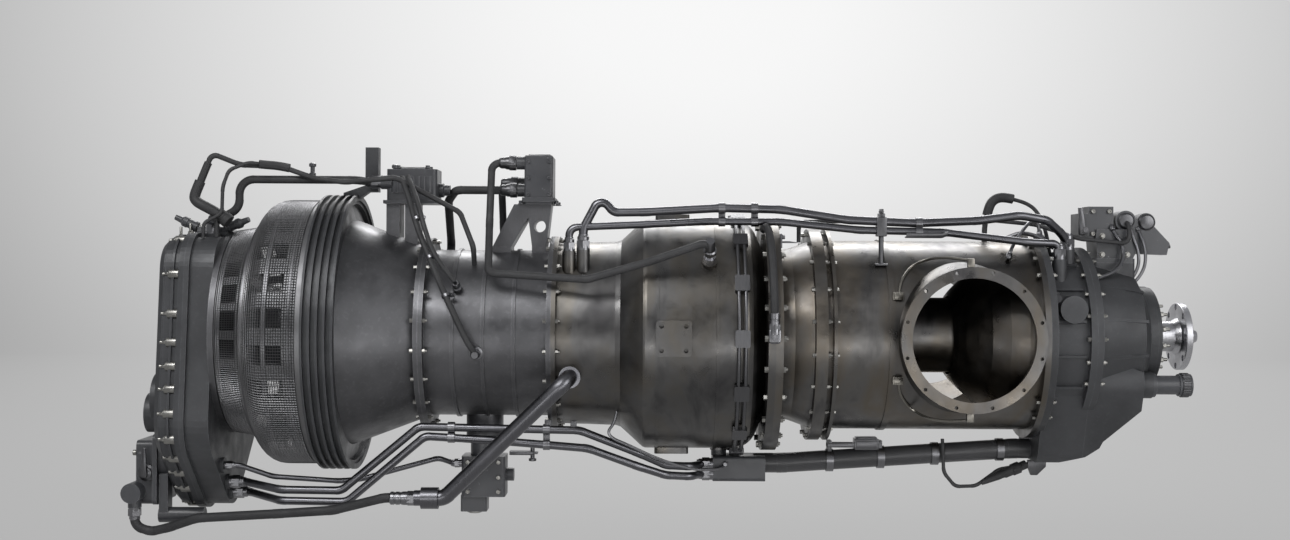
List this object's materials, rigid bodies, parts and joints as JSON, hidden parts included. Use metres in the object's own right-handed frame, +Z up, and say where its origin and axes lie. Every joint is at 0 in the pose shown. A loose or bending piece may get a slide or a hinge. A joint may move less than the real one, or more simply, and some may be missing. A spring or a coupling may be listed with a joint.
{
  "type": "turboprop engine",
  "caption": "Free-turbine turboprop engine with rear screened inlet, side exhaust ports, two-stage planetary reduction gearbox, accessory gearbox and external units.",
  "frame": {"origin": "on the shaft line, in the plane of the four mounting pads", "axes": "+X along the shaft line towards the propeller, +Z up, Y across"},
  "size_m": [1.959, 0.504, 0.7083],
  "materials": {
    "light_casting": "cast, matt",
    "dark_casting": "satin paint",
    "hot_section": "heat tinted sheet",
    "steel": "ground",
    "dark_unit": "satin paint",
    "screen_wire": "woven wire",
    "tube_metal": "dull",
    "hose_rubber": "matt"
  },
  "bodies": {
    "engine": {"gas_generator_case": "hot_section", "compressor_case": "light_casting", "compressor_stator": "light_casting", "compressor_inlet_case": "light_casting", "inlet_screen": "screen_wire", "inlet_seal_ring": "dark_casting", "accessory_gearbox_housing": "dark_casting", "accessory_gearbox_cover": "dark_casting", "diffuser": "hot_section", "combustion_liner": "hot_section", "compressor_turbine_vanes": "hot_section", "power_turbine_vanes": "hot_section", "power_turbine_case": "hot_section", "turbine_bearing_housing": "hot_section", "exhaust_duct": "hot_section", "reduction_gearbox_rear": "dark_casting", "reduction_gearbox_front": "dark_casting", "first_ring_gear": "steel", "second_ring_gear": "steel", "thrust_bearing_cover": "dark_casting", "main_bearings": "steel", "fuel_nozzles": "steel", "igniter_plugs": "steel", "flow_divider": "dark_unit", "bleed_valve": "dark_unit", "fuel_pump": "dark_unit", "exciter_bracket": "dark_casting", "ignition_exciter": "dark_unit", "fuel_heater": "dark_unit", "propeller_governor": "dark_unit", "speed_sensor": "dark_unit", "scavenge_tube": "tube_metal", "bleed_air_tube": "tube_metal", "top_tubes": "tube_metal", "lower_tubes": "tube_metal", "rear_hoses": "hose_rubber", "wiring_harness": "hose_rubber", "flange_bolts": "steel"},
    "gas_generator_spool": {"gas_generator_shaft": "steel", "compressor_rotor": "steel", "compressor_impeller": "steel", "compressor_turbine_disc": "steel"},
    "starter_drive": {"starter_drive_gear": "steel"},
    "idler": {"idler_gear": "steel"},
    "fuel_pump_drive": {"fuel_pump_drive_gear": "steel"},
    "oil_pump_drive": {"oil_pump_drive_gear": "steel"},
    "generator_drive": {"generator_drive_gear": "steel"},
    "power_turbine_spool": {"power_turbine_shaft": "steel", "power_turbine_discs": "steel"},
    "first_carrier": {"first_stage_carrier": "steel"},
    "first_planet_a": {"first_planet_a": "steel"},
    "first_planet_b": {"first_planet_b": "steel"},
    "first_planet_c": {"first_planet_c": "steel"},
    "propeller_drive": {"propeller_shaft": "steel"},
    "second_planet_a": {"second_planet_a": "steel"},
    "second_planet_b": {"second_planet_b": "steel"},
    "second_planet_c": {"second_planet_c": "steel"},
    "second_planet_d": {"second_planet_d": "steel"},
    "second_planet_e": {"second_planet_e": "steel"},
    "oil_filler_cap": {"oil_filler_cap": "dark_casting"}
  },
  "joints": [
    {"name": "gas_generator_turn", "type": "hinge", "parent": "engine", "child": "gas_generator_spool", "pos_m": [0, 0, 0], "axis": [1, 0, 0], "continuous": true},
    {"name": "starter_drive_turn", "type": "hinge", "parent": "engine", "child": "starter_drive", "pos_m": [-0.843, 0, 0.09], "axis": [1, 0, 0], "continuous": true},
    {"name": "idler_turn", "type": "hinge", "parent": "engine", "child": "idler", "pos_m": [-0.843, 0, -0.099], "axis": [1, 0, 0], "continuous": true},
    {"name": "fuel_pump_drive_turn", "type": "hinge", "parent": "engine", "child": "fuel_pump_drive", "pos_m": [-0.843, 0, -0.228], "axis": [1, 0, 0], "continuous": true},
    {"name": "oil_pump_drive_turn", "type": "hinge", "parent": "engine", "child": "oil_pump_drive", "pos_m": [-0.843, 0.081, 0], "axis": [1, 0, 0], "continuous": true},
    {"name": "generator_drive_turn", "type": "hinge", "parent": "engine", "child": "generator_drive", "pos_m": [-0.843, -0.081, 0], "axis": [1, 0, 0], "continuous": true},
    {"name": "power_turbine_turn", "type": "hinge", "parent": "engine", "child": "power_turbine_spool", "pos_m": [0, 0, 0], "axis": [1, 0, 0], "continuous": true},
    {"name": "first_carrier_turn", "type": "hinge", "parent": "engine", "child": "first_carrier", "pos_m": [0, 0, 0], "axis": [1, 0, 0], "continuous": true},
    {"name": "first_planet_a_turn", "type": "hinge", "parent": "first_carrier", "child": "first_planet_a", "pos_m": [0.704, 0, 0.0675], "axis": [1, 0, 0], "continuous": true},
    {"name": "first_planet_b_turn", "type": "hinge", "parent": "first_carrier", "child": "first_planet_b", "pos_m": [0.704, -0.05846, -0.03375], "axis": [1, 0, 0], "continuous": true},
    {"name": "first_planet_c_turn", "type": "hinge", "parent": "first_carrier", "child": "first_planet_c", "pos_m": [0.704, 0.05846, -0.03375], "axis": [1, 0, 0], "continuous": true},
    {"name": "propeller_turn", "type": "hinge", "parent": "engine", "child": "propeller_drive", "pos_m": [0, 0, 0], "axis": [1, 0, 0], "continuous": true},
    {"name": "second_planet_a_turn", "type": "hinge", "parent": "propeller_drive", "child": "second_planet_a", "pos_m": [0.767, 0, 0.07], "axis": [1, 0, 0], "continuous": true},
    {"name": "second_planet_b_turn", "type": "hinge", "parent": "propeller_drive", "child": "second_planet_b", "pos_m": [0.767, -0.06657, 0.02163], "axis": [1, 0, 0], "continuous": true},
    {"name": "second_planet_c_turn", "type": "hinge", "parent": "propeller_drive", "child": "second_planet_c", "pos_m": [0.767, -0.04115, -0.05663], "axis": [1, 0, 0], "continuous": true},
    {"name": "second_planet_d_turn", "type": "hinge", "parent": "propeller_drive", "child": "second_planet_d", "pos_m": [0.767, 0.04115, -0.05663], "axis": [1, 0, 0], "continuous": true},
    {"name": "second_planet_e_turn", "type": "hinge", "parent": "propeller_drive", "child": "second_planet_e", "pos_m": [0.767, 0.06657, 0.02163], "axis": [1, 0, 0], "continuous": true},
    {"name": "filler_cap_lift", "type": "slide", "parent": "engine", "child": "oil_filler_cap", "axis": [0, 0.848, 0.5299], "range_m": [0, 0.1]}
  ],
  "couplings": [
    {"joint": "starter_drive_turn", "follows": "gas_generator_turn", "ratio": -0.66667},
    {"joint": "idler_turn", "follows": "gas_generator_turn", "ratio": -0.57143},
    {"joint": "fuel_pump_drive_turn", "follows": "gas_generator_turn", "ratio": 0.54545},
    {"joint": "oil_pump_drive_turn", "follows": "gas_generator_turn", "ratio": -0.8},
    {"joint": "generator_drive_turn", "follows": "gas_generator_turn", "ratio": -0.8},
    {"joint": "first_carrier_turn", "follows": "power_turbine_turn", "ratio": 0.22222},
    {"joint": "first_planet_a_turn", "follows": "power_turbine_turn", "ratio": -0.62222},
    {"joint": "first_planet_b_turn", "follows": "power_turbine_turn", "ratio": -0.62222},
    {"joint": "first_planet_c_turn", "follows": "power_turbine_turn", "ratio": -0.62222},
    {"joint": "propeller_turn", "follows": "power_turbine_turn", "ratio": 0.055556},
    {"joint": "second_planet_a_turn", "follows": "power_turbine_turn", "ratio": -0.16667},
    {"joint": "second_planet_b_turn", "follows": "power_turbine_turn", "ratio": -0.16667},
    {"joint": "second_planet_c_turn", "follows": "power_turbine_turn", "ratio": -0.16667},
    {"joint": "second_planet_d_turn", "follows": "power_turbine_turn", "ratio": -0.16667},
    {"joint": "second_planet_e_turn", "follows": "power_turbine_turn", "ratio": -0.16667}
  ]
}
